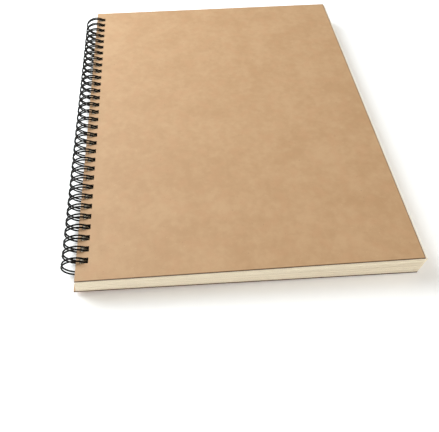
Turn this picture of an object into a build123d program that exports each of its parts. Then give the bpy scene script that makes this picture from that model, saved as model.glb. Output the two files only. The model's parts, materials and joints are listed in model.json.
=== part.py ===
from build123d import *
import math
import os

# A wire-bound sketchbook lying shut: two kraft boards, a block of cartridge paper and a
# twin-loop wire down the left long side. Millimetres, +Z up, +Y towards the head of the
# pages, +X towards the fore edge. The origin is the middle of the bounding box's floor.

# Boards and paper
leaf_height = 288.0         # foot to head, boards and sheets alike
front_width = 211.6         # spine edge to fore edge
sheet_width = 213.4         # the paper stands a little proud of the front board
back_width = 214.2
back_jut = 1.0              # the back board reaches this much further left than the bottom sheet
board_thickness = 0.8
sheet_thickness = 0.125
sheet_count = 80
single_count = 16           # sheets from the front that turn one at a time
pack_size = 8               # sheets in each pack of the rest, which turn together
spine_thickness = 12.1      # whole book, pressed together by the wire
fore_thickness = 16.5       # whole book at the fore edge, where the paper springs apart
lean = 1.3                  # the bottom leaf lies this much nearer the wire than the top

# Twin-loop wire, three loops to the inch
loop_count = 32
pitch = 25.4 / 3
foot_margin = 14.5          # foot edge to the middle of the first loop
wire_diameter = 1.1
ring_half_width = 9.3       # the oval that each strand follows, to the wire's middle
ring_half_height = 7.7
end_radius = 6.6            # the oval's left and right arcs
ring_beyond_spine = 0.5     # the oval's centre lies this far outside the top spine edge
hinge_beyond_spine = 1.3    # and the line that the leaves turn about this far
strand_gap = 2.2            # a loop's two strands, middle to middle, at the oval's centre
toe_in_x = 0.4              # degrees: the strands close up towards the left
toe_in_z = 0.6              # degrees: and downwards, towards the loop's tip
seam_gap = 0.3              # clear space between the tips and the linking bends

# Punched slots
slot_width = 4.0
slot_clearance = 0.2        # to the wire at both ends, over the whole turn of a leaf
turn_spare = 3              # degrees past shut and past flat open that it is kept for
arc_steps = 40              # points tried along each of the oval's arcs

# Worked-out sizes
wire_radius = wire_diameter / 2
end_x = ring_half_width - end_radius
flat_radius = (end_x ** 2 + ring_half_height ** 2 - end_radius ** 2) / (
    2 * (ring_half_height - end_radius)
)                           # the oval's top and bottom arcs
flat_z = flat_radius - ring_half_height
join = math.degrees(math.atan2(flat_z, end_x))
tip_gap = strand_gap - 2 * ring_half_height * math.sin(math.radians(toe_in_z))
link_radius = (pitch - tip_gap) / 2
link_angle = (tip_gap / 2 + wire_diameter + seam_gap + link_radius) / flat_radius
link_dip = link_radius * math.sin(link_angle) - flat_radius * (1 - math.cos(link_angle))
ring_reach = ring_beyond_spine + ring_half_width + wire_radius
spine_x = (ring_reach - sheet_width) / 2
ring_x = spine_x - ring_beyond_spine
ring_z = ring_half_height + link_dip + wire_radius     # the linking bends touch the floor
hinge_x = spine_x - hinge_beyond_spine
back_z = ring_z - spine_thickness / 2
fan = math.degrees(math.atan((fore_thickness - spine_thickness) / front_width))
sheet_pitch = (spine_thickness - 2 * board_thickness) / sheet_count
loops_y = [foot_margin + i * pitch - leaf_height / 2 for i in range(loop_count)]

# The oval as arcs about its centre, from the linking bends on the right, over the top and
# down the left to the tips: centre x and z, radius, first and last angle
oval = [
    (0, flat_z, flat_radius, math.degrees(link_angle) - 90, -join),
    (end_x, 0, end_radius, -join, join),
    (0, -flat_z, flat_radius, join, 180 - join),
    (-end_x, 0, end_radius, 180 - join, 180 + join),
    (0, flat_z, flat_radius, 180 + join, 270),
]


def slot_span(low, high):
    """Where a leaf's slot begins and ends, from the hinge line.

    The leaf lies between these heights above the hinge line. As it turns from shut to
    flat open, each point of the oval that crosses it has to stay inside the slot.
    """
    ends = []
    for centre_x, centre_z, radius, first, last in oval:
        for step in range(arc_steps + 1):
            angle = math.radians(first + (last - first) * step / arc_steps)
            x = centre_x + radius * math.cos(angle) + ring_x - hinge_x
            z = centre_z + radius * math.sin(angle)
            for height in (low, high):
                turn = math.atan2(z, x) - math.asin(height / math.hypot(x, z))
                turn = (turn + math.pi / 2) % (2 * math.pi) - math.pi / 2
                if -turn_spare < math.degrees(turn) < 180 + turn_spare:
                    along = math.sqrt(x ** 2 + z ** 2 - height ** 2)
                    half = wire_radius / abs(math.cos(angle - turn))
                    ends += [along - half, along + half]
    return min(ends) - slot_clearance, max(ends) + slot_clearance


def leaf(width, thickness, height, share, jut=0):
    """A punched leaf with its underside this high at the spine, and its share of the fan."""
    edge_x = spine_x - lean * (1 - share) - jut
    low = back_z + height - ring_z
    start, end = slot_span(low, low + thickness)
    slot_middle = (start + end) / 2 + hinge_x - edge_x
    slots = [Pos(slot_middle, y) * Rectangle(end - start, slot_width) for y in loops_y]
    outline = Pos(width / 2, 0) * Rectangle(width, leaf_height) - slots
    place = Location((edge_x, 0, back_z + height), (0, -fan * share, 0))
    return place * extrude(outline, amount=thickness)


def sheet(number):
    """Sheet number 1 lies under the front cover."""
    level = sheet_count - number + 0.5
    height = board_thickness + level * sheet_pitch - sheet_thickness / 2
    return leaf(sheet_width, sheet_thickness, height, level / sheet_count)


def strand(y, side):
    """One strand's arcs, from its linking bend round to the tip, in a slightly leaning plane."""
    lean_in = (-side * toe_in_z, 0, side * toe_in_x)
    place = Location((ring_x, y + side * strand_gap / 2, ring_z), lean_in)
    edges = []
    for centre_x, centre_z, radius, first, last in oval:
        angles = [math.radians(first + (last - first) * share) for share in (0, 0.5, 1)]
        points = [
            (centre_x + radius * math.cos(a), 0, centre_z + radius * math.sin(a))
            for a in angles
        ]
        edges.append(place * ThreePointArc(*points))
    return edges


def turned_back(edges):
    """The same run of arcs from its other end."""
    return [ThreePointArc(edge @ 1, edge @ 0.5, edge @ 0) for edge in reversed(edges)]


def twin_loop_wire():
    """One length of wire: round a strand, about the tip, back again and on to the next loop."""
    path = []
    for y in loops_y:
        out, back = strand(y, -1), turned_back(strand(y, 1))
        if path:
            path.append(TangentArc(path[-1] @ 1, out[0] @ 0, tangent=path[-1] % 1))
        path += out
        path.append(TangentArc(out[-1] @ 1, back[0] @ 0, tangent=out[-1] % 1))
        path += back
    whole = Wire(path)
    section = Plane(origin=whole @ 0, z_dir=whole % 0) * Circle(wire_radius)
    solid = sweep(section, path=whole)
    print("wire length", round(whole.length, 1), "volume ratio",
          round(solid.volume / (whole.length * math.pi * wire_radius ** 2), 4))
    return solid


os.makedirs("parts", exist_ok=True)
top_height = spine_thickness - board_thickness
back_cover = leaf(back_width, board_thickness, 0, 0, back_jut)
front_cover = leaf(front_width, board_thickness, top_height, 1)
export_step(back_cover, "parts/back_cover.step")
export_step(front_cover, "parts/front_cover.step")
export_step(twin_loop_wire(), "parts/wire_binding.step")

for number in range(1, single_count + 1):
    export_step(sheet(number), f"parts/sheet_{number:02d}.step")

for first in range(single_count + 1, sheet_count + 1, pack_size):
    last = first + pack_size - 1
    pack = Compound(children=[sheet(number) for number in range(first, last + 1)])
    export_step(pack, f"parts/sheets_{first:02d}_to_{last:02d}.step")
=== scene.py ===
# Wire-bound sketchbook: kraft boards, a block of cream cartridge paper and a black twin-loop wire.
import json
import math
import random

import bpy
import numpy as np
from mathutils import Matrix, Vector


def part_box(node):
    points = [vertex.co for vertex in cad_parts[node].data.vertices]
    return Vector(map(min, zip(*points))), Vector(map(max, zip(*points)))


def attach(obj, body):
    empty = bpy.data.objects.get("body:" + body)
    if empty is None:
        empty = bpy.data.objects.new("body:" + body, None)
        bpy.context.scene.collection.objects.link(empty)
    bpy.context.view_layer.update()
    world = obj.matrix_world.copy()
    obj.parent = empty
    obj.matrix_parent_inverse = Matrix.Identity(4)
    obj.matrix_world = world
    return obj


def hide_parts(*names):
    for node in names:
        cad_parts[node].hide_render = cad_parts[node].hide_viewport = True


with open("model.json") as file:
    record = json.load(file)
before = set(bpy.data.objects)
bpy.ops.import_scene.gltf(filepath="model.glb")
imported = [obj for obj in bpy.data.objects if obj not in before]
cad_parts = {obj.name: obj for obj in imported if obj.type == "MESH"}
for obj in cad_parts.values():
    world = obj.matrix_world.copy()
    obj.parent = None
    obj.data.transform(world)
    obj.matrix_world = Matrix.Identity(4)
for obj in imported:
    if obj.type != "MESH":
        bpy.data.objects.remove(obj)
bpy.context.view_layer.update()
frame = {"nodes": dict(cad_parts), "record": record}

mm = 0.001
print("frame loaded:", len(frame["nodes"]), "nodes")


class Level:
    # one socket's value that varies over a surface, for plain arithmetic
    def __init__(self, nodes, socket):
        self.nodes = nodes
        self.socket = socket

    def sum(self, operation, first, second=0.0):
        return self.nodes.node("ShaderNodeMath", {"operation": operation}, {0: first, 1: second})

    def __add__(self, other):
        return self.sum("ADD", self, other)

    def __sub__(self, other):
        return self.sum("SUBTRACT", self, other)

    def __rsub__(self, other):
        return self.sum("SUBTRACT", other, self)

    def __mul__(self, other):
        return self.sum("MULTIPLY", self, other)

    def __truediv__(self, other):
        return self.sum("DIVIDE", self, other)

    def __rtruediv__(self, other):
        return self.sum("DIVIDE", other, self)

    def size(self):
        return self.sum("ABSOLUTE", self)

    def least(self, other):
        return self.sum("MINIMUM", self, other)

    __radd__ = __add__
    __rmul__ = __mul__


class Nodes:
    # a node tree, where every node is made in one way
    def __init__(self, tree):
        self.tree = tree

    def node(self, kind, settings, inputs, output=0):
        made = self.tree.nodes.new(kind)
        for name, value in settings.items():
            setattr(made, name, value)
        for name, value in inputs.items():
            self.feed(made.inputs[name], value)
        return Level(self, made.outputs[output])

    def feed(self, socket, value):
        if isinstance(value, Level):
            self.tree.links.new(value.socket, socket)
        elif value is not None:
            socket.default_value = value


class Finish(Nodes):
    # a material under construction, around its Principled shader
    def __init__(self, name, **evenValues):
        self.material = bpy.data.materials.new(name)
        self.material.use_nodes = True
        super().__init__(self.material.node_tree)
        self.shader = next(n for n in self.tree.nodes if n.type == "BSDF_PRINCIPLED")
        for socketName, value in evenValues.items():
            self.shader.inputs[socketName.replace("_", " ")].default_value = value

    def place(self):
        return self.node("ShaderNodeTexCoord", {}, {}, "Object")

    def facing(self):
        return self.node("ShaderNodeTexCoord", {}, {}, "Normal")

    def part(self, vector, axis):
        return self.node("ShaderNodeSeparateXYZ", {}, {0: vector}, axis)

    def noise(self, where, detail, roughness, seed):
        return self.node("ShaderNodeTexNoise", {"noise_dimensions": "4D"},
                         {"Vector": where, "W": seed, "Scale": 1.0, "Detail": detail,
                          "Roughness": roughness})

    def grain(self, place, size, detail, roughness, seed, turn=0.0):
        # noise with grains of a size in metres, the long ones turned about the vertical by degrees
        if isinstance(size, float):
            size = (size,) * 3
        turned = self.node("ShaderNodeMapping", {"vector_type": "POINT"},
                           {"Vector": place, "Rotation": (0, 0, math.radians(turn))})
        where = self.node("ShaderNodeVectorMath", {"operation": "DIVIDE"}, {0: turned, 1: size})
        return self.noise(where, detail, roughness, seed)

    def between(self, value, low, high):
        # 0 at low, 1 at high, smooth in between
        return self.node("ShaderNodeMapRange", {"interpolation_type": "SMOOTHSTEP"},
                         {"Value": value, "From Min": low, "From Max": high})

    def mix(self, share, first, second):
        return self.node("ShaderNodeMix", {"data_type": "RGBA"}, {0: share, 6: first, 7: second}, 2)

    def cutSide(self, span):
        # 0 on a leaf's faces, 1 on its cut edges
        return self.between(self.part(self.facing(), 2).size(), *span)

    def bump(self, height, depth, strength=1.0):
        return self.node("ShaderNodeBump", {},
                         {"Height": height, "Distance": depth, "Strength": strength})

    def coat(self, colour=None, roughness=None, normal=None):
        self.feed(self.shader.inputs["Base Color"], colour)
        self.feed(self.shader.inputs["Roughness"], roughness)
        self.feed(self.shader.inputs["Normal"], normal)
        return self.material


def colourOf(red, green, blue, light=1.0):
    return (red * light, green * light, blue * light, 1.0)


kraft = {
    "face": (0.474, 0.290, 0.151),      # the outside of both boards
    "pale": (0.520, 0.331, 0.181),      # the lighter clouds in the pulp
    "deep": (0.430, 0.252, 0.124),      # the darker ones
    "rosy": (0.492, 0.281, 0.146),      # where more bark-coloured pulp shows
    "fibre": (0.640, 0.455, 0.280),
    "fleck": (0.200, 0.105, 0.050),
    "shadedCutEdge": (0.032, 0.017, 0.009),   # the cut side, its own darker tone deepened with painted shade
    "shadedCutEdgePale": (0.120, 0.068, 0.036),
    "paintedEdgeLighting": (0.130, 0.072, 0.035),       # painted shade, the faces drawn darker along their fore and foot edges
    "paintedEdgeWidth": 0.60 * mm,
    "paintedEdgeFull": 0.18 * mm,               # and are at their darkest this near the edge
    # how strongly each shows
    "faceShare": 0.35,
    "rosyShare": 0.4,
    "paleFibreShare": 0.38,
    "darkFibreShare": 0.30,
    "darkFibreLight": 0.85,
    "fleckShare": 0.6,
    "paleFleckShare": 0.35,
    "paintedEdgeShare": 0.85,
    # sizes are in metres
    "clouds": {"size": 21 * mm, "detail": 3.0, "roughness": 0.55, "seed": 1.3},
    "smallClouds": {"size": 5.5 * mm, "detail": 4.0, "roughness": 0.6, "seed": 4.1},
    "rosyClouds": {"size": 9 * mm, "detail": 2.0, "roughness": 0.5, "seed": 15.0},
    "fibres": {"size": (3.4 * mm, 0.26 * mm, 0.26 * mm), "detail": 2.0, "roughness": 0.5},
    "fibreSeeds": {12: 7.0, 74: 10.1, 141: 13.2},     # by the way they lie, in degrees
    "flecks": {"size": 0.9 * mm, "detail": 1.0, "roughness": 0.4, "seed": 21.0},
    "paleFlecks": {"size": 1.17 * mm, "detail": 1.0, "roughness": 0.4, "seed": 33.0},
    "plies": {"size": (2.72 * mm, 2.72 * mm, 0.11 * mm), "detail": 3.0, "roughness": 0.6,
              "seed": 40.0},            # layers seen in the cut edge
    "tooth": {"size": 0.35 * mm, "detail": 3.0, "roughness": 0.6, "seed": 55.0},
    "toothDepth": 0.03 * mm,
    "fibreDepth": 0.02 * mm,
    # from where to where in the noise each comes in
    "mottleSpan": (0.36, 0.66),
    "rosySpan": (0.48, 0.66),
    "paleFibreSpan": (0.66, 0.76),
    "darkFibreSpan": (0.33, 0.25),
    "fleckSpan": (0.745, 0.79),
    "paleFleckSpan": (0.74, 0.80),
    "plySpan": (0.34, 0.68),
    "cutSpan": (0.80, 0.45),            # of how squarely a face looks up or down
    "roughness": 0.56,
    "cloudRoughness": 0.08,             # added where the pulp is pale
    "cloudRoughnessSpan": (0.3, 0.7),
    "toothRoughness": 0.08,             # added on the grain's high points
    "cutRoughness": 0.25,               # added on the cut edge
    "specular": 0.4,
}


def kraftFinish(node):
    finish = Finish("kraft_" + node, Specular_IOR_Level=kraft["specular"])
    place = finish.place()
    mottle = finish.grain(place, **kraft["clouds"]) * 0.5 + finish.grain(
        place, **kraft["smallClouds"]) * 0.5
    colour = finish.mix(finish.between(mottle, *kraft["mottleSpan"]), colourOf(*kraft["deep"]),
                        colourOf(*kraft["pale"]))
    colour = finish.mix(kraft["faceShare"], colour, colourOf(*kraft["face"]))
    rosy = finish.between(finish.grain(place, **kraft["rosyClouds"]), *kraft["rosySpan"])
    colour = finish.mix(rosy * kraft["rosyShare"], colour, colourOf(*kraft["rosy"]))

    # fibres lie every way in the pulp, so three turned sets stand for them
    relief = None
    for turn, seed in kraft["fibreSeeds"].items():
        strands = finish.grain(place, **kraft["fibres"], seed=seed, turn=turn)
        pale = finish.between(strands, *kraft["paleFibreSpan"])
        dark = finish.between(strands, *kraft["darkFibreSpan"])
        colour = finish.mix(pale * kraft["paleFibreShare"], colour, colourOf(*kraft["fibre"]))
        colour = finish.mix(dark * kraft["darkFibreShare"], colour,
                            colourOf(*kraft["deep"], light=kraft["darkFibreLight"]))
        relief = strands if relief is None else relief + strands

    flecks = finish.between(finish.grain(place, **kraft["flecks"]), *kraft["fleckSpan"])
    colour = finish.mix(flecks * kraft["fleckShare"], colour, colourOf(*kraft["fleck"]))
    paleFlecks = finish.between(finish.grain(place, **kraft["paleFlecks"]), *kraft["paleFleckSpan"])
    colour = finish.mix(paleFlecks * kraft["paleFleckShare"], colour, colourOf(*kraft["fibre"]))

    # painted shade: the faces are drawn a little darker along their fore and foot edges
    low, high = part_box(node)
    inward = (high.x - finish.part(place, 0)).least(finish.part(place, 1) - low.y)
    paintedEdgeLighting = finish.between(inward, kraft["paintedEdgeWidth"], kraft["paintedEdgeFull"])
    colour = finish.mix(paintedEdgeLighting * kraft["paintedEdgeShare"], colour, colourOf(*kraft["paintedEdgeLighting"]))

    # the cut edge shows the board's plies end on, its colour deepened with painted shade
    cut = finish.cutSide(kraft["cutSpan"])
    plies = finish.between(finish.grain(place, **kraft["plies"]), *kraft["plySpan"])
    colour = finish.mix(cut, colour, finish.mix(plies, colourOf(*kraft["shadedCutEdge"]),
                                                colourOf(*kraft["shadedCutEdgePale"])))

    tooth = finish.grain(place, **kraft["tooth"])
    normal = finish.bump(tooth + relief * (kraft["fibreDepth"] / kraft["toothDepth"]),
                         kraft["toothDepth"])
    cloudy = finish.between(mottle, *kraft["cloudRoughnessSpan"])
    roughness = (kraft["roughness"] + cloudy * kraft["cloudRoughness"]
                 + tooth * kraft["toothRoughness"] + cut * kraft["cutRoughness"])
    return finish.coat(colour, roughness, normal)


paper = {
    "face": (0.750, 0.688, 0.565),
    "warm": (0.715, 0.645, 0.515),      # its slightly deeper clouds
    "paintedEdgeLighting": (0.970, 0.910, 0.790),       # painted highlight, a lighter strip where the sheets stand proud of the front board
    "paintedEdgeWidth": 2.0 * mm,
    "paintedEdgeFull": 1.2 * mm,
    "edgePale": (0.945, 0.860, 0.690),
    "edgeDeep": (0.800, 0.695, 0.530),
    "count": 80,
    "clouds": {"size": 26 * mm, "detail": 3.0, "roughness": 0.5, "seed": 2.0},
    "cloudSpan": (0.3, 0.7),
    "warmShare": 0.5,
    "streaks": {"detail": 2.0, "roughness": 0.7, "seed": 11.0},     # sheet by sheet
    "streakLength": 90 * mm,
    "streaksPerSheet": 0.9,
    "bands": {"detail": 3.0, "roughness": 0.55, "seed": 12.0},      # a few sheets together
    "bandLength": 160 * mm,
    "bandsPerSheet": 0.14,
    "streakSpan": (0.30, 0.62),
    "cutSpan": (0.8, 0.4),              # of how squarely a face looks up or down
    "tooth": {"size": 0.55 * mm, "detail": 3.0, "roughness": 0.65, "seed": 5.0},
    "toothDepth": 0.035 * mm,
    "roughness": 0.80,
    "toothRoughness": 0.12,             # added on the grain's high points
    "specular": 0.25,
    "foreTrim": 0.25 * mm,              # how far a sheet's edge may lie back from its neighbours'
    "footTrim": 0.30 * mm,
    "wander": 0.16,                     # how far the trim may drift from sheet to sheet, of its most
    "driftShare": 0.6,                  # the rest of it is each sheet's own
    "foreZone": 3 * mm,                 # what lies this near the fore edge is that edge
    "edgeZone": 0.1 * mm,               # and this near the foot or head is theirs
    "seed": 17,
}


def sheetLevels():
    # height of the block over the back board, and how far it opens per metre from the spine
    backLow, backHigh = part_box("back_cover")
    frontLow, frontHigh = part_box("front_cover")
    boardThickness = backHigh.z - backLow.z
    block = frontLow.z - backHigh.z
    opening = (frontHigh.z - frontLow.z - boardThickness) / (frontHigh.x - frontLow.x)
    return backHigh.z, block, opening, frontLow.x


def paperFinish():
    finish = Finish("creamPaper", Specular_IOR_Level=paper["specular"])
    bottom, block, opening, spine = sheetLevels()
    place = finish.place()
    x, y, z = (finish.part(place, axis) for axis in range(3))
    level = (z - bottom) / (block + (x - spine) * opening) * float(paper["count"])

    clouds = finish.between(finish.grain(place, **paper["clouds"]), *paper["cloudSpan"])
    face = finish.mix(clouds * paper["warmShare"], colourOf(*paper["face"]), colourOf(*paper["warm"]))
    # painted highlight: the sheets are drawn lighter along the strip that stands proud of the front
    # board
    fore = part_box("sheet_01")[1].x
    paintedEdgeLighting = finish.between(x, fore - paper["paintedEdgeWidth"], fore - paper["paintedEdgeFull"])
    face = finish.mix(paintedEdgeLighting, face, colourOf(*paper["paintedEdgeLighting"]))

    # each sheet's edge has its own tone, and a few together are darker where light sinks in
    alongEdge = finish.node("ShaderNodeCombineXYZ", {}, {
        0: (x + y) / paper["streakLength"], 1: level * paper["streaksPerSheet"]})
    acrossEdge = finish.node("ShaderNodeCombineXYZ", {}, {
        0: (x + y) / paper["bandLength"], 1: level * paper["bandsPerSheet"]})
    tone = (finish.noise(alongEdge, **paper["streaks"]) * 0.5
            + finish.noise(acrossEdge, **paper["bands"]) * 0.5)
    edge = finish.mix(finish.between(tone, *paper["streakSpan"]), colourOf(*paper["edgeDeep"]),
                      colourOf(*paper["edgePale"]))
    colour = finish.mix(finish.cutSide(paper["cutSpan"]), face, edge)

    tooth = finish.grain(place, **paper["tooth"])
    normal = finish.bump(tooth, paper["toothDepth"])
    return finish.coat(colour, paper["roughness"] + tooth * paper["toothRoughness"], normal)


def trimmedSheets(node, body, material, trims):
    # the punched sheets as the guillotine leaves them, each a hair shorter or longer
    source = frame["nodes"][node]
    mesh = source.data.copy()
    mesh.name = node + "_paper"
    bottom, block, opening, spine = sheetLevels()
    places = np.empty(len(mesh.vertices) * 3, np.float32)
    mesh.vertices.foreach_get("co", places)
    places = places.reshape(-1, 3)
    low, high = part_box(node)
    level = (places[:, 2] - bottom) / (block + (places[:, 0] - spine) * opening) * paper["count"]
    number = np.clip(np.floor(level).astype(int), 0, paper["count"] - 1)
    fore, foot, head = (trims[:, column][number] for column in range(3))
    places[:, 0] -= np.where(places[:, 0] > high.x - paper["foreZone"], fore, 0)
    places[:, 1] += np.where(places[:, 1] < low.y + paper["edgeZone"], foot, 0)
    places[:, 1] -= np.where(places[:, 1] > high.y - paper["edgeZone"], head, 0)
    mesh.vertices.foreach_set("co", places.ravel())
    mesh.update()
    piece = bpy.data.objects.new(node + "_paper", mesh)
    bpy.context.scene.collection.objects.link(piece)
    mesh.materials.clear()
    mesh.materials.append(material)
    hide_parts(node)
    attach(piece, body)
    return piece


def edgeTrims():
    # neighbours wander together, as a stack knocked up by hand does
    draw = random.Random(paper["seed"])
    rows = []
    drift = [0.5, 0.5, 0.5]             # fore, foot and head
    for number in range(paper["count"]):
        drift = [min(1, max(0, value + draw.uniform(-paper["wander"], paper["wander"])))
                 for value in drift]
        share = [paper["driftShare"] * value + (1 - paper["driftShare"]) * draw.random()
                 for value in drift]
        rows.append([share[0] * paper["foreTrim"], share[1] * paper["footTrim"],
                     share[2] * paper["footTrim"]])
    return np.array(rows, np.float32)


wire = {
    "loops": 32,
    "pitch": 25.4 / 3 * mm,
    "diameter": 1.1 * mm,
    "halfWidth": 9.3 * mm,              # the oval, to the wire's middle
    "halfHeight": 7.7 * mm,
    "endRadius": 6.6 * mm,
    "strandGap": 2.2 * mm,
    "toeAcross": 0.4,                   # degrees
    "toeDown": 0.6,
    "seamGap": 0.3 * mm,
    "step": 5.0,                        # degrees between points round the oval
    "bendSteps": 12,                    # points along each bend from strand to strand
    "mergeWithin": 0.01 * mm,
    "sides": 14,
    "black": (0.0030, 0.0027, 0.0025),
    "dull": (0.0075, 0.0068, 0.0062),
    "dullShare": 0.7,
    "dullSpan": (0.4, 0.7),
    "clouds": {"size": 2.4 * mm, "detail": 3.0, "roughness": 0.6, "seed": 3.0},
    "grit": {"size": 0.22 * mm, "detail": 2.0, "roughness": 0.5, "seed": 9.0},
    "gritDepth": 0.008 * mm,
    "gritStrength": 0.6,
    "roughness": 0.26,
    "cloudRoughness": 0.16,             # added where the coat is dull
    "specular": 0.10,
    "sheen": (1.0, 0.86, 0.72, 1.0),    # the black coat reflects a little warm
}


def wireFinish():
    finish = Finish("blackWire", Specular_IOR_Level=wire["specular"], Specular_Tint=wire["sheen"])
    place = finish.place()
    cloudy = finish.grain(place, **wire["clouds"])
    colour = finish.mix(finish.between(cloudy, *wire["dullSpan"]) * wire["dullShare"],
                        colourOf(*wire["black"]), colourOf(*wire["dull"]))
    normal = finish.bump(finish.grain(place, **wire["grit"]), wire["gritDepth"], wire["gritStrength"])
    return finish.coat(colour, wire["roughness"] + cloudy * wire["cloudRoughness"], normal)


def ovalPoints():
    # x and z about the oval's middle, from the linking bend, over the top and round to the tip
    endX = wire["halfWidth"] - wire["endRadius"]
    flatRadius = (endX ** 2 + wire["halfHeight"] ** 2 - wire["endRadius"] ** 2) / (
        2 * (wire["halfHeight"] - wire["endRadius"]))
    flatZ = flatRadius - wire["halfHeight"]
    join = math.degrees(math.atan2(flatZ, endX))
    tipGap = wire["strandGap"] - 2 * wire["halfHeight"] * math.sin(math.radians(wire["toeDown"]))
    link = (wire["pitch"] - tipGap) / 2
    linkAngle = math.degrees((tipGap / 2 + wire["diameter"] + wire["seamGap"] + link) / flatRadius)
    arcs = [(0, flatZ, flatRadius, linkAngle - 90, -join),
            (endX, 0, wire["endRadius"], -join, join),
            (0, -flatZ, flatRadius, join, 180 - join),
            (-endX, 0, wire["endRadius"], 180 - join, 180 + join),
            (0, flatZ, flatRadius, 180 + join, 270)]
    points = []
    for centreX, centreZ, radius, first, last in arcs:
        steps = max(2, round(abs(last - first) / wire["step"]))
        for step in range(steps + 1):
            angle = math.radians(first + (last - first) * step / steps)
            point = Vector((centreX + radius * math.cos(angle), 0, centreZ + radius * math.sin(angle)))
            if not points or (point - points[-1]).length > wire["mergeWithin"]:
                points.append(point)
    # the way the wire runs off each end: back into the linking bend, and on past the tip
    linkWay = Vector((-math.cos(math.radians(linkAngle)), 0, -math.sin(math.radians(linkAngle))))
    return points, linkWay, Vector((1, 0, 0))


def bend(start, along, end, steps):
    # the arc that leaves start in the direction along and comes round to end
    chord = end - start
    across = chord - along * chord.dot(along)
    half = along.angle(chord)
    radius = chord.length / (2 * math.sin(half))
    across.normalize()
    return [start + along * radius * math.sin(turn) + across * radius * (1 - math.cos(turn))
            for turn in (2 * half * step / steps for step in range(1, steps))]


def wirePath():
    lowest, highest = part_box("wire_binding")
    middleX = lowest.x + wire["halfWidth"] + wire["diameter"] / 2
    middleZ = highest.z - wire["halfHeight"] - wire["diameter"] / 2
    middleY = (lowest.y + highest.y) / 2
    oval, linkWay, tipWay = ovalPoints()
    path = []
    for number in range(wire["loops"]):
        y = middleY + (number - (wire["loops"] - 1) / 2) * wire["pitch"]
        for side in (-1, 1):
            lean = Matrix.Rotation(math.radians(-side * wire["toeDown"]), 3, "X") @ Matrix.Rotation(
                math.radians(side * wire["toeAcross"]), 3, "Z")
            centre = Vector((middleX, y + side * wire["strandGap"] / 2, middleZ))
            strand = [centre + lean @ point for point in oval]
            if side > 0:
                strand.reverse()
            if path:
                path += bend(path[-1], along, strand[0], wire["bendSteps"])
            path += strand
            along = lean @ (linkWay if side > 0 else tipWay)
    # the linking bends lie on the floor
    lift = Vector((0, 0, lowest.z + wire["diameter"] / 2 - min(point.z for point in path)))
    return [point + lift for point in path]


def roundTube(name, path, radius, sides):
    # rings carried along the path without twisting
    count = len(path)
    tangents = [(path[min(i + 1, count - 1)] - path[max(i - 1, 0)]).normalized() for i in range(count)]
    normal = tangents[0].orthogonal().normalized()
    corners = []
    for point, tangent in zip(path, tangents):
        normal = (normal - tangent * normal.dot(tangent)).normalized()
        side = tangent.cross(normal)
        for k in range(sides):
            turn = 2 * math.pi * k / sides
            corners.append(point + (normal * math.cos(turn) + side * math.sin(turn)) * radius)
    faces = []
    for ring in range(count - 1):
        for k in range(sides):
            a = ring * sides + k
            b = ring * sides + (k + 1) % sides
            faces.append((a, b, b + sides, a + sides))
    faces.append(tuple(reversed(range(sides))))
    faces.append(tuple(range((count - 1) * sides, count * sides)))
    mesh = bpy.data.meshes.new(name)
    mesh.from_pydata(corners, [], faces)
    mesh.shade_smooth()
    piece = bpy.data.objects.new(name, mesh)
    bpy.context.scene.collection.objects.link(piece)
    return piece


def putOn(piece, material):
    # on the object, so that the frame's own mesh stays as it came
    if not piece.material_slots:
        piece.data.materials.append(None)
    for place in piece.material_slots:
        place.link = "OBJECT"
        place.material = material


boardMaterials = {node: kraftFinish(node) for node in ("back_cover", "front_cover")}
paperMaterial = paperFinish()
wireMaterial = wireFinish()
nodeSlots = {row["node"]: row["material_slot"] for row in frame["record"]["subparts"]}
bodyOf = {node: body for body, members in frame["record"]["behaviour"]["bodies"].items()
          for node in members}
slotMaterials = {"cream_paper": paperMaterial, "black_wire": wireMaterial}
for nodeName, nodeObject in frame["nodes"].items():
    putOn(nodeObject, boardMaterials.get(nodeName) or slotMaterials[nodeSlots[nodeName]])
print("finishes on")

trims = edgeTrims()
for nodeName in sorted(frame["nodes"]):
    if nodeSlots[nodeName] == "cream_paper":
        trimmedSheets(nodeName, bodyOf[nodeName], paperMaterial, trims)
print("sheets trimmed")

binding = roundTube("twin_loop_wire", wirePath(), wire["diameter"] / 2, wire["sides"])
binding.data.materials.append(wireMaterial)
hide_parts("wire_binding")
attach(binding, bodyOf["wire_binding"])
print("wire wound")


studio = {
    "floorColour": (0.98, 0.98, 0.98),
    "floorShade": 0.97,                 # its clouds are this much as light
    "floorShadeShare": 0.1,
    "floorClouds": {"size": 0.4, "detail": 2.0, "roughness": 0.5, "seed": 1.0},
    "floorRoughness": 0.9,
    "floorSpecular": 0.2,
    "floorSize": 12.0,
    "glowFrom": 0.5,                    # the sweep brightens from here, in metres from the book
    "glowTo": 2.0,
    "glowNear": 0.13,
    "glowFar": 0.66,
    "skyColour": (1.0, 0.95, 0.87),
    "skyLight": 0.31,
    "backdrop": (0.97, 0.97, 0.97),
    "lamps": {
        "window": {"place": Vector((-0.58, 0.40, 0.50)), "size": 0.75, "power": 14.4,
                   "colour": (0.90, 0.96, 1.0)},
        "frontFill": {"place": Vector((0.60, -0.82, 0.23)), "size": 0.8, "power": 5.4,
                      "colour": (1.0, 0.96, 0.90)},
        "sideFill": {"place": Vector((0.80, -0.30, 0.16)), "size": 0.7, "power": 2.4,
                     "colour": (1.0, 0.98, 0.95)},
    },
}


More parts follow.
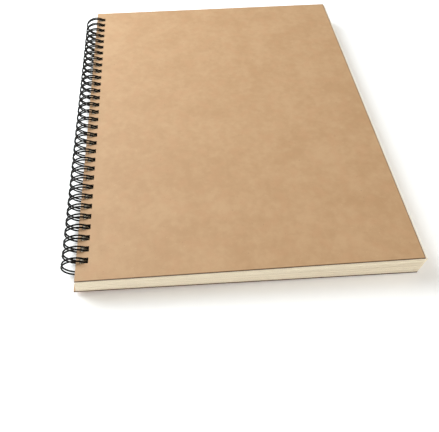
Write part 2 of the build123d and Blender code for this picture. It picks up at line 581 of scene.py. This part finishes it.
def floorMaterial():
    finish = Finish("paleFloor", Roughness=studio["floorRoughness"],
                    Specular_IOR_Level=studio["floorSpecular"])
    clouds = finish.grain(finish.place(), **studio["floorClouds"])
    colour = finish.mix(clouds * studio["floorShadeShare"], colourOf(*studio["floorColour"]),
                        colourOf(*studio["floorColour"], light=studio["floorShade"]))
    # the sweep glows a little near the book, and more far off, where the lamps don't reach
    away = finish.node("ShaderNodeVectorMath", {"operation": "LENGTH"}, {0: finish.place()}, 1)
    glow = studio["glowNear"] + finish.between(away, studio["glowFrom"], studio["glowTo"]) * (
        studio["glowFar"] - studio["glowNear"])
    white = finish.node("ShaderNodeCombineXYZ", {}, {0: glow, 1: glow, 2: glow})
    finish.feed(finish.shader.inputs["Emission Color"], white)
    finish.shader.inputs["Emission Strength"].default_value = 1.0
    return finish.coat(colour)


def layFloor():
    # the book rests on its wire and on the back board's fore edge, so the floor leans to meet both
    wireLow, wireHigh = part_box("wire_binding")
    backLow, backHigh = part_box("back_cover")
    wireX = (wireLow.x + wireHigh.x) / 2
    rise = (backLow.z - wireLow.z) / (backHigh.x - wireX)
    half = studio["floorSize"] / 2
    corners = [Vector((x, y, wireLow.z + (x - wireX) * rise))
               for x, y in ((-half, -half), (half, -half), (half, half), (-half, half))]
    mesh = bpy.data.meshes.new("floor")
    mesh.from_pydata(corners, [], [(0, 1, 2, 3)])
    mesh.materials.append(floorMaterial())
    floor = bpy.data.objects.new("floor", mesh)
    bpy.context.scene.collection.objects.link(floor)


def lightStudio():
    world = bpy.data.worlds.new("studio")
    bpy.context.scene.world = world
    world.use_nodes = True
    nodes = Nodes(world.node_tree)
    nodes.tree.nodes.remove(nodes.tree.nodes["Background"])
    sky = nodes.node("ShaderNodeBackground", {}, {
        "Color": (*studio["skyColour"], 1), "Strength": studio["skyLight"]})
    # straight behind the book stands a pale backdrop, which lights nothing
    backdrop = nodes.node("ShaderNodeBackground", {}, {"Color": (*studio["backdrop"], 1)})
    seen = nodes.node("ShaderNodeLightPath", {}, {}, "Is Camera Ray")
    either = nodes.node("ShaderNodeMixShader", {}, {0: seen, 1: sky, 2: backdrop})
    nodes.feed(nodes.tree.nodes["World Output"].inputs["Surface"], either)
    for name, wanted in studio["lamps"].items():
        light = bpy.data.lights.new(name, "AREA")
        light.shape = "SQUARE"
        light.size = wanted["size"]
        light.energy = wanted["power"]
        light.color = wanted["colour"]
        lamp = bpy.data.objects.new(name, light)
        lamp.location = wanted["place"]
        lamp.rotation_euler = (-wanted["place"]).to_track_quat("-Z", "Y").to_euler()
        bpy.context.scene.collection.objects.link(lamp)


camera = {
    "fromCorner": Vector((59.61 * mm, -159.55 * mm, 261.10 * mm)),   # the cover's spine and foot corner
    "turn": (37.43, -1.13, -4.49),      # degrees
    "lens": 41.9,
    "shift": (0.0325, 0.0134),
    "nearest": 0.01,
}


def setCamera():
    lens = bpy.data.cameras.new("camera")
    lens.lens = camera["lens"]
    lens.shift_x, lens.shift_y = camera["shift"]
    lens.clip_start = camera["nearest"]
    holder = bpy.data.objects.new("camera", lens)
    backLow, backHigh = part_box("back_cover")
    frontLow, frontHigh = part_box("front_cover")
    corner = Vector((frontLow.x, frontLow.y, frontLow.z + backHigh.z - backLow.z))
    holder.location = corner + camera["fromCorner"]
    holder.rotation_euler = [math.radians(turn) for turn in camera["turn"]]
    bpy.context.scene.collection.objects.link(holder)
    bpy.context.scene.camera = holder


layFloor()
lightStudio()
setCamera()
bpy.context.scene.view_settings.view_transform = "Standard"
print("studio set")
